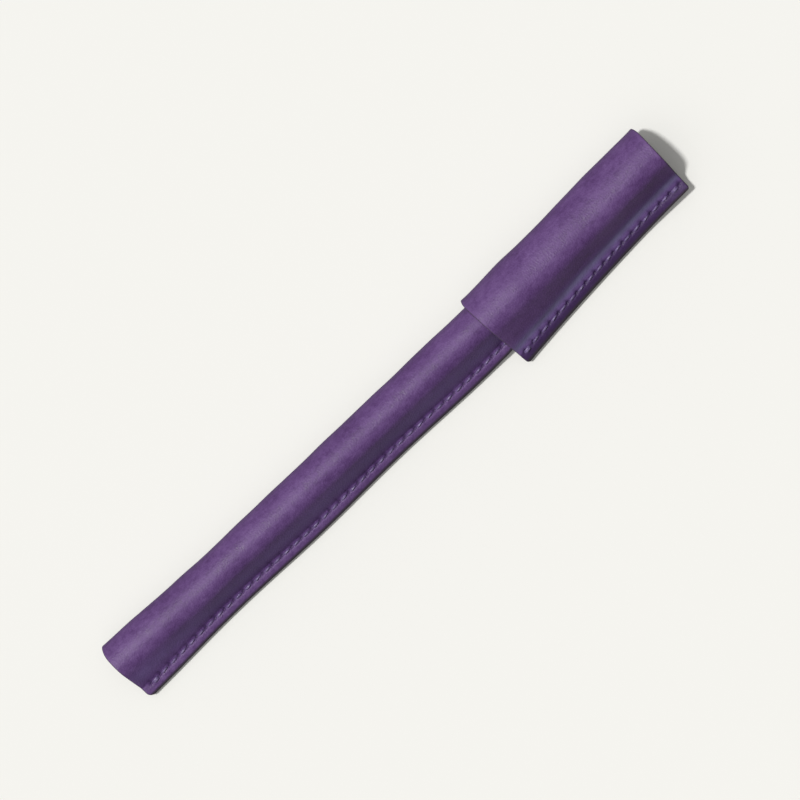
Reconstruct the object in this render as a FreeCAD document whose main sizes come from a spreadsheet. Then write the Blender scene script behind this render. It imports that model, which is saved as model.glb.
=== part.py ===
import FreeCAD, Part
import math
import os

# A slim leather sleeve for one pen: a folded and side-sewn tube, with a second, wider tube as its cap.
# It lies on its side on a table. X runs along it towards the cap, +Y is the folded side, -Y the sewn side.

DRIVING_SIZES = {
    # Leather, shared by the sleeve and the cap
    "wall": 1.0,
    "leaf_gap": 0.1,
    "root_radius": 0.45,
    "corner_radius": 0.8,
    "fold_split_angle": 60.0,
    # Sleeve: a round tube whose lower end is spread a little wider and flatter
    "body_length": 124.5,
    "body_height": 10.6,
    "body_crest_offset": 1.8,
    "body_flank_lean": 0.65,
    "body_belly_radius": 2.5,
    "body_end_slant": 1.6,
    "body_flare_length": 24.0,
    "body_flare_fold_gain": 0.65,
    "body_flare_edge_gain": 1.05,
    "body_end_drop": 1.3,
    # Cap: leans to the folded side, with its seam drawn in beyond the sleeve's hidden end
    "cap_length": 56.0,
    "cap_overlap": 9.5,
    "cap_clearance": 0.3,
    "cap_headroom": 0.7,
    "cap_fold_play": 0.5,
    "cap_fold_lean": 1.85,
    "cap_seam_clearance": 0.3,
    "cap_mouth_flare": 0.45,
    "cap_lip_length": 2.5,
    "cap_seam_draw_in": 2.95,
    "cap_belly_radius": 2.4,
    "cap_mouth_slant": 4.9,
    # Plugs
    "plug_thickness": 2.4,
    "plug_recess": 1.0,
    "glue_clearance": 0.05,
    # Sewing
    "stitch_pitch": 3.0,
    "stitch_inset": 1.95,
    "stitch_root_inset": 0.35,
    "stitch_end_margin": 2.4,
    "thread_diameter": 0.5,
    "thread_clearance": 0.03,
    "thread_leg_gap": 0.16,
    "thread_table_gap": 0.12,
    "slit_clearance": 0.08,
    # Cutting
    "overrun": 3.0,
}
BODY_END_FLATNESS_SHARE = 0.3
BODY_FLARE_SHARES = (0.0, 0.3, 0.5, 0.7, 1.0)
CAP_TAPER_SHARES = (0.0, 0.3, 0.65, 1.0)
THREAD_SIDES = 5

doc = FreeCAD.newDocument("pen_sleeve")
sheet = doc.addObject("Spreadsheet::Sheet", "sizes")
for row, (alias, number) in enumerate(DRIVING_SIZES.items(), start=1):
    sheet.set(f"A{row}", alias)
    sheet.set(f"B{row}", str(number))
    sheet.setAlias(f"B{row}", alias)
doc.recompute()


def size(alias):
    """A driving dimension, as the sheet holds it."""
    return float(sheet.get(alias))


# Sizes that several pieces share
wall = size("wall")
root_radius = size("root_radius")
overrun = size("overrun")
flange_thickness = 2 * wall + size("leaf_gap")
thread_radius = size("thread_diameter") / 2
thread_gap = thread_radius + size("thread_clearance")
leg_spacing = size("thread_diameter") + size("thread_leg_gap")
slit_width = size("thread_diameter") + 2 * size("slit_clearance")
slit_length = leg_spacing + slit_width
seam_allowance = size("stitch_inset") + size("stitch_root_inset")

# The sleeve's lower end lies on the table, and the cap's wall under it lifts its other end
body_length = size("body_length")
mouth_x = body_length - size("cap_overlap")
cap_lip_x = mouth_x + size("cap_lip_length")
cap_end_x = mouth_x + size("cap_length")
mouth_lift = wall + size("cap_clearance")
tilt = math.degrees(math.asin(mouth_lift / mouth_x))
tuck_lift = mouth_lift * (mouth_x + body_length) / (2 * mouth_x)

# The bobbin thread runs under the sleeve's flange without touching the table
body_flange_rise = size("thread_diameter") + size("thread_clearance") + size("thread_table_gap")
cap_height = size("body_height") + 2 * wall + size("cap_clearance") + size("cap_headroom")

# The sleeve is as wide as its height asks: half a round on the folded side, a leaning flank on the other
body_fold = size("body_height") / 2 + size("body_crest_offset")
body_root = size("body_height") / 2 - size("body_crest_offset") + root_radius + size("body_flank_lean")
body_edge = body_root + seam_allowance

# The cap's leaves part far enough beyond the sleeve's edge to leave room for its flange
seam_reach = root_radius + wall + size("cap_seam_clearance")
cap_tuck_edge = body_edge + seam_reach + seam_allowance


class Section:
    """Cross-section of a folded strip at one place along the sleeve.

    The strip runs from the lower leaf of the flange under the flat belly, round the fold, over the crown and
    down a straight flank to the upper leaf. Its bends are tangent arcs.
    """

    def __init__(self, x, fold_y, edge_y, height, flange_base, belly_radius, flatness_share=0.0):
        self.x = x
        self.edge_y = edge_y
        self.flange_base = flange_base
        self.belly_radius = belly_radius
        self.stitch_y = edge_y + size("stitch_inset")
        self.root_y = edge_y + seam_allowance
        self.split = math.radians(size("fold_split_angle"))
        self.crown_radius = height / 2 * (1 + flatness_share)
        crown_drop = self.crown_radius * (1 - math.cos(self.split))
        self.fold_radius = (height / 2 - crown_drop) / math.cos(self.split)
        fold_reach = self.crown_radius * math.sin(self.split) + self.fold_radius * (1 - math.sin(self.split))
        self.crest_y = fold_y - fold_reach
        self.crown_z = height - self.crown_radius
        bend = root_radius + belly_radius
        self.dive = math.acos(1 - flange_base / bend)
        self.belly_y = self.root_y + bend * math.sin(self.dive)
        # The flank touches the crown arc on its inner side and the root arc on its outer side
        across = self.root_y - self.crest_y
        up = flange_base + flange_thickness + root_radius - self.crown_z
        reach = self.crown_radius + root_radius
        self.flank = math.sqrt(across ** 2 + up ** 2 - reach ** 2)
        heading = math.atan2(up, across) + math.atan2(reach, self.flank)
        self.over_crest = heading % (2 * math.pi) - math.pi

    def strip_wire(self):
        """Outline of the strip: along its grain side and back along its flesh side."""
        flange = self.root_y - self.edge_y
        strokes = (
            (flange, 0),
            (root_radius, -self.dive),
            (self.belly_radius, self.dive),
            (self.crest_y - self.belly_y, 0),
            (self.crown_radius, self.split),
            (self.fold_radius, math.pi - 2 * self.split),
            (self.crown_radius, self.split + self.over_crest),
            (self.flank, 0),
            (root_radius, -self.over_crest),
            (flange, 0),
        )
        start = (self.edge_y, self.flange_base)
        grain_side = traced_edges(self.x, start, strokes, 0)
        flesh_side = traced_edges(self.x, start, strokes, wall)
        cut_edges = []
        for end in (0, -1):
            outer = grain_side[end].Vertexes[end].Point
            inner = flesh_side[end].Vertexes[end].Point
            cut_edges.append(Part.LineSegment(outer, inner).toShape())
        return Part.Wire(Part.__sortEdges__(grain_side + flesh_side + cut_edges))

    def plug_wire(self):
        """Outline of a plug that fills the tube, rounded like its belly where the leaves come together."""
        depth = wall + size("glue_clearance")
        crown = self.crown_radius - depth
        # Its nose follows the belly's bend, or is as round as the flank above leaves room for
        across = self.belly_y - self.crest_y
        room = crown + across * math.sin(self.over_crest) + (self.crown_z - depth) * math.cos(self.over_crest)
        nose = min(self.belly_radius - depth, room / (1 + math.cos(self.over_crest)))
        # A straight side leaves the crown arc and runs on as the nose arc
        up = depth + nose - self.crown_z
        apart = math.hypot(across, up)
        heading = math.atan2(up, across) + math.asin((crown - nose) / apart)
        over_crest = heading % (2 * math.pi) - math.pi
        strokes = (
            (self.crest_y - self.belly_y, 0),
            (crown, self.split),
            (self.fold_radius - depth, math.pi - 2 * self.split),
            (crown, self.split + over_crest),
            (math.sqrt(apart ** 2 - (crown - nose) ** 2), 0),
            (nose, math.pi - over_crest),
        )
        return Part.Wire(Part.__sortEdges__(traced_edges(self.x, (self.belly_y, depth), strokes, 0)))


def traced_edges(x, start, strokes, depth):
    """Lines and arcs of a path in the plane at x, moved to the left of the path by depth.

    The path sets out along +Y. A stroke is (length, 0) for a line and (radius, turn) for an arc, left turns
    being positive. A bend tighter than the leather is thick is a crease, and has two flats instead.
    """
    point = FreeCAD.Vector(x, *start)
    heading = 0.0
    edges = []
    for reach, turn in strokes:
        stops = [inset_point(point, heading, depth)]
        if turn == 0:
            point += FreeCAD.Vector(0, math.cos(heading), math.sin(heading)) * reach
            stops.append(inset_point(point, heading, depth))
            edges.append(Part.LineSegment(*stops).toShape())
        else:
            radius = math.copysign(reach, turn)
            centre = inset_point(point, heading, radius)
            for angle in (heading + turn / 2, heading + turn):
                point = inset_point(centre, angle, -radius)
                stops.append(inset_point(point, angle, depth))
            heading += turn
            if reach < wall:
                edges += [Part.LineSegment(*pair).toShape() for pair in zip(stops, stops[1:])]
            else:
                edges.append(Part.Arc(*stops).toShape())
    return edges


def inset_point(point, heading, depth):
    """The point at a distance to the left of a heading in the cross-section."""
    return point + FreeCAD.Vector(0, -math.sin(heading), math.cos(heading)) * depth


def body_section(x):
    """The sleeve's section at x, spread towards the lower end."""
    share = min(max(1 - x / size("body_flare_length"), 0.0), 1.0)
    flare = share * share * (3 - 2 * share)
    return Section(
        x=x,
        fold_y=body_fold + flare * size("body_flare_fold_gain"),
        edge_y=-body_edge - flare * size("body_flare_edge_gain"),
        height=size("body_height") - flare * size("body_end_drop"),
        flange_base=body_flange_rise,
        belly_radius=size("body_belly_radius"),
        flatness_share=flare * BODY_END_FLATNESS_SHARE,
    )


def cap_section(x):
    """The cap's section at x: flared behind a straight lip, drawn in beyond the sleeve's hidden end."""
    fold_at_mouth = body_fold + wall + size("cap_fold_play")
    behind_lip = max(x - cap_lip_x, 0.0)
    lean = size("cap_fold_lean") * behind_lip / (cap_end_x - cap_lip_x)
    flare = size("cap_mouth_flare") * (1 - min(behind_lip / (body_length - cap_lip_x), 1.0))
    beyond = max(x - body_length, 0.0) / (cap_end_x - body_length)
    draw_in = size("cap_seam_draw_in") * (1 - (1 - beyond) ** 2)
    return Section(
        x=x,
        fold_y=fold_at_mouth + lean,
        edge_y=-cap_tuck_edge - flare + draw_in,
        height=cap_height,
        flange_base=body_flange_rise + tuck_lift,
        belly_radius=size("cap_belly_radius"),
    )


def feature(name, shape):
    """A document object that holds a computed shape."""
    made = doc.addObject("Part::Feature", name)
    made.Shape = shape
    return made


def ruled_solid(name, wires):
    """A solid with straight rulings from each outline to the next, and true planes where it is flat."""
    faces = [Part.Face(wires[0]), Part.Face(wires[-1])]
    for near, far in zip(wires, wires[1:]):
        for pair in zip(near.Edges, far.Edges):
            side = Part.makeLoft([Part.Wire(edge) for edge in pair], False, True).Faces[0]
            if side.findPlane():
                corners = [vertex.Point for vertex in side.OuterWire.OrderedVertexes]
                side = Part.Face(Part.makePolygon(corners + corners[:1]))
            faces.append(side)
    return feature(name, Part.Solid(Part.Shell(faces)))


def cut(name, base, tools):
    """The base with all tools cut away."""
    fused = doc.addObject("Part::MultiFuse", f"{name}_tools")
    fused.Shapes = tools
    made = doc.addObject("Part::Cut", name)
    made.Base = base
    made.Tool = fused
    return made


def end_direction(slant_alias):
    """The direction of a slanted end cut in plan, towards the folded side."""
    angle = math.radians(size(slant_alias))
    return FreeCAD.Vector(-math.sin(angle), math.cos(angle), 0)


def end_cutter(name, x, slant_alias):
    """A block that trims what lies before x, along an end cut slanted in plan."""
    block = doc.addObject("Part::Box", name)
    block.setExpression("Length", "sizes.overrun * 2")
    block.setExpression("Width", "sizes.body_length")
    block.setExpression("Height", "sizes.body_length")
    block.setExpression("Placement.Rotation.Angle", f"sizes.{slant_alias} * 1 deg")
    along = end_direction(slant_alias)
    outward = along.cross(FreeCAD.Vector(0, 0, -1))
    middle = FreeCAD.Vector(x, 0, 0) - FreeCAD.Vector(0, 0, body_length / 2)
    block.Placement.Base = middle - along * (body_length / 2) + outward * (2 * overrun)
    return block


def corner_cutter(name, corner, along_edge, along_end):
    """A prism that rounds a flange corner, given the directions in which its two sides leave it."""
    radius = size("corner_radius")
    bisector = (along_edge + along_end).normalize()
    half_angle = along_edge.getAngle(along_end) / 2
    tangent = radius / math.tan(half_angle)
    nearest = corner + bisector * (radius / math.sin(half_angle) - radius)
    on_edge = corner + along_edge * tangent
    on_end = corner + along_end * tangent
    beyond_edge = on_edge - along_end * overrun
    beyond_end = on_end - along_edge * overrun
    outside = corner - (along_edge + along_end) * overrun
    sides = [Part.Arc(on_edge, nearest, on_end).toShape()]
    corners = (on_end, beyond_end, outside, beyond_edge, on_edge)
    sides += [Part.LineSegment(*pair).toShape() for pair in zip(corners, corners[1:])]
    face = Part.Face(Part.Wire(sides))
    face.translate(FreeCAD.Vector(0, 0, -cap_height))
    return feature(name, face.extrude(FreeCAD.Vector(0, 0, 2 * cap_height)))


def near_end_corner(name, section_at, x, slant_alias):
    """The rounding of the flange corner at a slanted end that faces -X."""
    along_end = end_direction(slant_alias)
    rise = along_end.x / along_end.y
    corner = FreeCAD.Vector(x + section_at(x).edge_y * rise, 0, 0)
    corner.y = section_at(corner.x).edge_y
    ahead = section_at(corner.x + overrun)
    along_edge = (FreeCAD.Vector(ahead.x, ahead.edge_y, 0) - corner).normalize()
    return corner_cutter(name, corner, along_edge, along_end)


def far_end_corner(name, section):
    """The rounding of the flange corner at a square end that faces +X."""
    corner = FreeCAD.Vector(section.x, section.edge_y, 0)
    return corner_cutter(name, corner, FreeCAD.Vector(-1, 0, 0), FreeCAD.Vector(0, 1, 0))


def stitch_sections(section_at, first_x, last_x):
    """Sections at every stitch hole of a seam, spread at the stitch pitch about its middle."""
    count = int((last_x - first_x) // size("stitch_pitch"))
    start = (first_x + last_x - count * size("stitch_pitch")) / 2
    return [section_at(start + index * size("stitch_pitch")) for index in range(count + 1)]


def slits(name, holes):
    """The row of slits through both leaves of a flange."""
    cutters = []
    for hole in holes:
        block = Part.makeBox(slit_length, slit_width, flange_thickness + 2 * overrun)
        corner = FreeCAD.Vector(hole.x, hole.stitch_y, hole.flange_base - overrun)
        block.translate(corner - FreeCAD.Vector(slit_length, slit_width, 0) / 2)
        cutters.append(block)
    return feature(name, Part.Compound(cutters))


def mitred_tube(points):
    """A many-sided tube along straight runs, its rings lying in the mitre planes between them."""
    runs = [(after - before).normalize() for before, after in zip(points, points[1:])]
    across = FreeCAD.Vector(0, 1, 0)
    beside = runs[0].cross(across)
    spokes = []
    for corner in range(THREAD_SIDES):
        angle = 2 * math.pi * corner / THREAD_SIDES
        spokes.append((across * math.cos(angle) + beside * math.sin(angle)) * thread_radius)
    rings = []
    for index, point in enumerate(points):
        before = runs[max(index - 1, 0)]
        after = runs[min(index, len(runs) - 1)]
        mitre = (before + after).normalize()
        spokes = [spoke - before * (spoke.dot(mitre) / before.dot(mitre)) for spoke in spokes]
        ring = [point + spoke for spoke in spokes]
        rings.append(Part.makePolygon(ring + ring[:1]))
        spokes = [spoke - after * spoke.dot(after) for spoke in spokes]
    return Part.makeLoft(rings, True, True)


def thread(name, holes, on_top):
    """One unbroken thread of a lockstitch: it runs along one face and dips to mid-leather at every slit."""
    side = 1 if on_top else -1
    points = []
    for hole in holes:
        middle = hole.flange_base + flange_thickness / 2
        lock_z = middle + side * thread_gap
        run_z = middle + side * (flange_thickness / 2 + thread_gap)
        legs = (-leg_spacing / 2, leg_spacing / 2)
        corners = ((legs[0], run_z), (legs[0], lock_z), (legs[1], lock_z), (legs[1], run_z))
        points += [FreeCAD.Vector(hole.x + leg, hole.stitch_y, z) for leg, z in corners]
    return feature(name, mitred_tube(points[1:-1]))


# Sleeve
margin = size("stitch_end_margin")
body_holes = stitch_sections(body_section, margin, body_length - margin)
body_xs = [-overrun] + [share * size("body_flare_length") for share in BODY_FLARE_SHARES] + [body_length]
body_blank = ruled_solid("body_blank", [body_section(x).strip_wire() for x in body_xs])
body_tools = [
    end_cutter("body_end_cutter", 0.0, "body_end_slant"),
    near_end_corner("body_end_corner", body_section, 0.0, "body_end_slant"),
    far_end_corner("body_tuck_corner", body_section(body_length)),
    slits("body_slits", body_holes),
]
body_leather = cut("body_leather", body_blank, body_tools)
body_needle_thread = thread("body_needle_thread", body_holes, True)
body_bobbin_thread = thread("body_bobbin_thread", body_holes, False)
plug_xs = (size("plug_recess"), size("plug_recess") + size("plug_thickness"))
body_end_plug = ruled_solid("body_end_plug", [body_section(x).plug_wire() for x in plug_xs])

# Cap
cap_holes = stitch_sections(cap_section, mouth_x + margin, cap_end_x - margin)
taper_xs = [body_length + share * (cap_end_x - body_length) for share in CAP_TAPER_SHARES]
cap_xs = [mouth_x - overrun, cap_lip_x] + taper_xs
cap_blank = ruled_solid("cap_blank", [cap_section(x).strip_wire() for x in cap_xs])
cap_tools = [
    end_cutter("cap_mouth_cutter", mouth_x, "cap_mouth_slant"),
    near_end_corner("cap_mouth_corner", cap_section, mouth_x, "cap_mouth_slant"),
    far_end_corner("cap_end_corner", cap_section(cap_end_x)),
    slits("cap_slits", cap_holes),
]
cap_leather = cut("cap_leather", cap_blank, cap_tools)
cap_needle_thread = thread("cap_needle_thread", cap_holes, True)
cap_bobbin_thread = thread("cap_bobbin_thread", cap_holes, False)
cap_end_plug = ruled_solid("cap_end_plug", [cap_section(cap_end_x - x).plug_wire() for x in plug_xs])
doc.recompute()

# The sleeve's pieces share its small tilt, and the cap's pieces lie level
body_parts = [body_leather, body_needle_thread, body_bobbin_thread, body_end_plug]
cap_parts = [cap_leather, cap_needle_thread, cap_bobbin_thread, cap_end_plug]
parts = body_parts + cap_parts
lean = FreeCAD.Rotation(FreeCAD.Vector(0, 1, 0), -tilt)
for piece in body_parts:
    piece.Placement = FreeCAD.Placement(FreeCAD.Vector(0, 0, 0), lean)
doc.recompute()

# The origin is the middle of the footprint, on the table
footprint = FreeCAD.BoundBox()
for piece in parts:
    footprint.add(piece.Shape.optimalBoundingBox(False))
shift = FreeCAD.Vector(-footprint.Center.x, -footprint.Center.y, -footprint.ZMin)
for piece in parts:
    piece.Placement = FreeCAD.Placement(shift, piece.Placement.Rotation)
    piece.Label = piece.Name
doc.recompute()

for made in doc.Objects:
    if "Invalid" in made.State or "Error" in made.State:
        raise RuntimeError(f"{made.Name} failed: {made.State}")
for piece in parts:
    if piece.Shape.isNull() or not piece.Shape.isValid():
        raise RuntimeError(f"{piece.Name} has no valid shape")

os.makedirs("parts", exist_ok=True)
for piece in parts:
    piece.Shape.exportStep(f"parts/{piece.Label}.step")
    print(piece.Label, len(piece.Shape.Solids), round(piece.Shape.Volume, 2))
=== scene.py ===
"""Dresses a slim leather pen sleeve and its cap, and sets up the table that they are photographed on.

Lengths are in millimetres until a mesh is made. X runs along the sleeve towards the cap, +Y is the folded
side, -Y the sewn side, and Z points up. The sleeve's own coordinates start at its lower end. Stations along a
piece are the rows of an array, and the points across it are the columns.
"""
import logging
import math
from abc import ABC, abstractmethod
from dataclasses import dataclass, replace
from enum import Enum
from functools import reduce
from itertools import chain
from operator import add
from typing import Any

import bpy
import numpy as np
from mathutils import Matrix, Vector


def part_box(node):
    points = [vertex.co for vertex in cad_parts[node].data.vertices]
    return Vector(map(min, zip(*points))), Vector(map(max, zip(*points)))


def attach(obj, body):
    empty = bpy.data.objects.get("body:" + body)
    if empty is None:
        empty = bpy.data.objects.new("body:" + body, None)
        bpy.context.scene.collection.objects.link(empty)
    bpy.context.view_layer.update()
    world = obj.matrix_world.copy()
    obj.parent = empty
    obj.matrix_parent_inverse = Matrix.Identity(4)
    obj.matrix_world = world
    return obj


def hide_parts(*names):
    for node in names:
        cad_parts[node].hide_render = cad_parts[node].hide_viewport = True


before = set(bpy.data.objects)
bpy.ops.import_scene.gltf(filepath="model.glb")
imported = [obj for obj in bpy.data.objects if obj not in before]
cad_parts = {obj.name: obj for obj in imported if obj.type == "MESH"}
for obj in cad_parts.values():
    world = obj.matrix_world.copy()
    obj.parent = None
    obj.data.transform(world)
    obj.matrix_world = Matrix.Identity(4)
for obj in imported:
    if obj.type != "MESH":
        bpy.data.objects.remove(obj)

LOG = logging.getLogger("pen_sleeve")
MM = 0.001
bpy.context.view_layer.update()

Array = np.ndarray
Sizes = np.ndarray | float
Place = tuple[float, float, float]
Colour = tuple[float, float, float]


def ease(share: Array) -> Array:
    """Smooth step: 0 below share 0, 1 above share 1, and 3t^2 - 2t^3 between."""
    t = np.clip(share, 0.0, 1.0)
    return t * t * (3.0 - 2.0 * t)


@dataclass(frozen=True)
class Bell:
    """A bell curve over a distance d: height * exp(-((d - middle) / spread)^2)."""

    spread: float
    height: float = 1.0
    middle: float = 0.0

    def at(self, distance: Array) -> Array:
        """The curve's value at a distance."""
        return self.height * np.exp(-(((distance - self.middle) / self.spread) ** 2))


def even(count: int) -> Array:
    """Equal shares of a stroke, without its end."""
    return np.arange(count) / count


def rounding(distance: Array, radius: float) -> Array:
    """Depth of a quarter-round edge at a distance from it: r - sqrt(r^2 - (r - d)^2)."""
    short = np.clip(radius - distance, 0.0, radius)
    return radius - np.sqrt(radius ** 2 - short ** 2)


class Leaf(Enum):
    """The side of a flange that a thread runs on."""

    UPPER = 1
    LOWER = -1


class Mask(Enum):
    """Values that a leather mesh carries for its finish."""

    CUT = "cut_edge"
    FLESH = "flesh_side"
    PRESS = "seam_press"
    FLANGE_DARKENING = "edge_dye"
    BLOOM = "wax_bloom"
    RUB = "rubbed"


@dataclass(frozen=True)
class Lie:
    """How a piece lies on the table: turned about Y by a small tilt, then shifted."""

    shift: Place
    tilt: float = 0.0

    def apply(self, points: Array) -> Array:
        """Carries points to the table's frame.

        Args:
            points: Coordinates in millimetres, the last axis being x, y, z.

        Returns:
            The same points in metres. With the tilt t, x becomes x cos t - z sin t and z becomes
            x sin t + z cos t, and the shift is added.
        """
        x, y, z = np.moveaxis(points, -1, 0)
        cos, sin = math.cos(self.tilt), math.sin(self.tilt)
        turned = np.stack((x * cos - z * sin, y, x * sin + z * cos), axis=-1)
        return (turned + np.array(self.shift)) * MM


def scene_object(name: str, data: Any) -> bpy.types.Object:
    """Puts a new object into the scene.

    Args:
        name: Its name.
        data: The mesh, lamp or lens that it holds.

    Returns:
        The object.
    """
    made = bpy.data.objects.new(name, data)
    bpy.context.scene.collection.objects.link(made)
    return made


def mesh_object(name: str, points: Array, faces: list[Array], masks: dict[Mask, Array]) -> bpy.types.Object:
    """Puts worked-out points into a new smooth-shaded object at the origin.

    Args:
        name: The piece's name.
        points: Vertex coordinates in metres, one row each.
        faces: Index arrays with one row per face, one array for each number of corners.
        masks: One value per vertex for each mask.

    Returns:
        The object, linked to the scene.
    """
    mesh = bpy.data.meshes.new(name)
    mesh.from_pydata(points.tolist(), [], list(chain.from_iterable(block.tolist() for block in faces)))
    for mask, values in masks.items():
        layer = mesh.attributes.new(mask.value, "FLOAT", "POINT")
        layer.data.foreach_set("value", values.astype(np.float32))
    mesh.polygons.foreach_set("use_smooth", np.ones(len(mesh.polygons), dtype=bool))
    mesh.update()
    return scene_object(name, mesh)


def dress(piece: bpy.types.Object, material: bpy.types.Material) -> None:
    """Gives a piece one material and reports it.

    Args:
        piece: The piece.
        material: Its material.
    """
    piece.data.materials.clear()
    piece.data.materials.append(material)
    LOG.info("%s: %d faces, %s", piece.name, len(piece.data.polygons), material.name)


def rows_of(*corners: Array) -> Array:
    """One row per face from an index array per corner."""
    return np.stack([corner.ravel() for corner in corners], axis=1)


def grid_quads(rows: int, columns: int, first: int = 0) -> Array:
    """Corner indices of a grid's quads, facing to the right of the columns' path as the rows go on."""
    index = first + np.arange(rows * columns).reshape(rows, columns)
    return rows_of(index[:-1, :-1], index[:-1, 1:], index[1:, 1:], index[1:, :-1])


def ring_quads(rings: Array) -> Array:
    """Corner indices of the quads between closed rings of points, one row of indices per ring."""
    after = np.roll(rings, -1, axis=1)
    return rows_of(rings[:-1], rings[1:], after[1:], after[:-1])


def perimeter(rows: int, columns: int) -> Array:
    """Indices of a grid's border points, once round: first row, last column, last row and first column."""
    index = np.arange(rows * columns).reshape(rows, columns)
    return np.concatenate((index[0, :-1], index[:-1, -1], index[-1, :0:-1], index[:0:-1, 0]))


@dataclass(frozen=True)
class Stroke:
    """A line, or an arc that turns left by a positive angle, of a cross-section at every station."""

    reach: Sizes
    turn: Sizes | None
    shares: Array


@dataclass(frozen=True)
class Trace:
    """Points of cross-sections: y, z, heading and length so far, a row per station."""

    y: Array
    z: Array
    heading: Array
    gone: Array

    @property
    def from_edge(self) -> Array:
        """Distance along the path to its nearer end, which is the flange's edge."""
        return np.minimum(self.gone, self.gone[:, -1:] - self.gone)


def traced(y: Array, z: Sizes, strokes: list[Stroke]) -> Trace:
    """Follows lines and tangent arcs through all cross-sections at once.

    A line goes on along its heading h. An arc of signed radius r has its centre to the left of the path by r
    and the point at turn a is the centre minus r times the left normal of h + a, which is (-sin, cos).

    Args:
        y: Where each path starts, as a column.
        z: The same in height.
        strokes: The strokes in order. The paths set out along +Y.

    Returns:
        The points, a column per sample.
    """
    heading = gone = np.zeros_like(y)
    columns: list[tuple[Array, ...]] = []
    for stroke in strokes:
        share = np.append(stroke.shares, 1.0)[None, :]
        if stroke.turn is None:
            ys = y + share * stroke.reach * np.cos(heading)
            zs = z + share * stroke.reach * np.sin(heading)
            headings = heading + 0.0 * share
            lengths = gone + share * stroke.reach
        else:
            radius = np.copysign(stroke.reach, stroke.turn)
            headings = heading + share * stroke.turn
            ys = y - radius * np.sin(heading) + radius * np.sin(headings)
            zs = z + radius * np.cos(heading) - radius * np.cos(headings)
            lengths = gone + share * stroke.reach * np.abs(stroke.turn)
        columns.append((ys[:, :-1], zs[:, :-1], headings[:, :-1], lengths[:, :-1]))
        y, z, heading, gone = ys[:, -1:], zs[:, -1:], headings[:, -1:], lengths[:, -1:]
    columns.append((y, z, heading, gone))
    return Trace(*(np.concatenate(parts, axis=1) for parts in zip(*columns)))


@dataclass(frozen=True)
class Seam:
    """A row of slanted stitches along a flange."""

    first_x: float
    holes: int
    pitch: float
    inset: float = 2.35
    allowance: float = 2.85
    slant: float = 0.15
    slit_angle: float = 0.6
    thread_radius: float = 0.3
    groove: Bell = Bell(0.45, 0.1)
    hole_depth: float = 0.35
    along_slit: Bell = Bell(0.5)
    across_slit: Bell = Bell(0.26)
    notch_share: float = 0.3
    along_notch: Bell = Bell(0.42)
    across_notch: Bell = Bell(0.5, middle=0.55)
    pucker: Bell = Bell(0.45, 0.08, -0.75)
    crease: Bell = Bell(0.22, 0.1)
    crease_start: float = 0.4
    crease_length: float = 1.9
    crease_fade: float = 0.8
    end_fade: float = 1.5
    notch_shade: float = 0.6
    line_shade: Bell = Bell(0.3, 0.3, 0.2)
    around_hole: tuple[float, ...] = (-1.0, -0.55, -0.25, 0.0, 0.25, 0.55, 1.0, 1.5)
    from_rim: tuple[float, ...] = (0.0, 0.05, 0.12, 0.22, 0.4, 0.7, 1.1)
    clear_of_rim: float = 1.4

    @property
    def hole_xs(self) -> Array:
        """Places of the holes along the seam."""
        return self.first_x + self.pitch * np.arange(self.holes)

    def stations(self, start: float, end: float) -> Array:
        """Stations for a strip, close together at the holes and at both rims.

        Args:
            start: The strip's near end.
            end: Its far end.

        Returns:
            Places along the strip, in order.
        """
        rim = np.array(self.from_rim)
        seam = (self.hole_xs[:, None] + np.array(self.around_hole)).ravel()
        seam = seam[(seam > start + self.clear_of_rim) & (seam < end - self.clear_of_rim)]
        return np.concatenate((start + rim, seam, (end - rim)[::-1]))

    def relief(self, x: Array, from_edge: Array) -> tuple[Array, Array]:
        """How the sewing shapes the flange.

        A shallow bell-shaped groove runs along the stitch line, a deep slanted bell-shaped dent sits at every
        hole and runs out towards the tube, the leather swells outside the row midway between two holes, and a
        low ridge runs from every hole slantwise to the edge.

        Args:
            x: Place along the strip.
            from_edge: Distance from the flange's edge along the surface.

        Returns:
            The height added to the surface, and a mask of painted shade that is 1 in the holes and weaker in
            the notches and along the row.
        """
        nearest = np.clip(np.round((x - self.first_x) / self.pitch), 0, self.holes - 1)
        near, off = x - self.first_x - nearest * self.pitch, from_edge - self.inset
        cos, sin = math.cos(self.slit_angle), math.sin(self.slit_angle)
        hole = self.along_slit.at(near * cos + off * sin) * self.across_slit.at(off * cos - near * sin)
        notch = self.along_notch.at(near) * self.across_notch.at(off)
        swell = ease(np.clip(2 * np.abs(near) / self.pitch, 0.0, 1.0)) * self.pucker.at(off)
        out, beside = (near - off) * math.sqrt(0.5), (near + off) * math.sqrt(0.5)
        ridge = self.crease.at(beside) * ease(out / self.crease_start)
        ridge = ridge * ease((self.crease_length - out) / self.crease_fade)
        height = swell + ridge - self.groove.at(off) - self.hole_depth * (hole + self.notch_share * notch)
        # Painted shade in the holes and notches, and along a line beside the row.
        shade = hole + self.notch_shade * notch + self.line_shade.at(off)
        sewn = ease((x - self.hole_xs[0]) / self.end_fade + 1.0)
        sewn = sewn * ease((self.hole_xs[-1] - x) / self.end_fade + 1.0)
        return sewn * height, sewn * np.clip(shade, 0.0, 1.0)


@dataclass(frozen=True)
class Shape:
    """Sizes of a folded strip's cross-sections, one value per station as a column or one for all."""

    fold_y: Array
    edge_y: Array
    root_y: Array
    height: Sizes
    flatness: Sizes
    brow: Sizes
    foot: Sizes
    upper_root: Sizes


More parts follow.
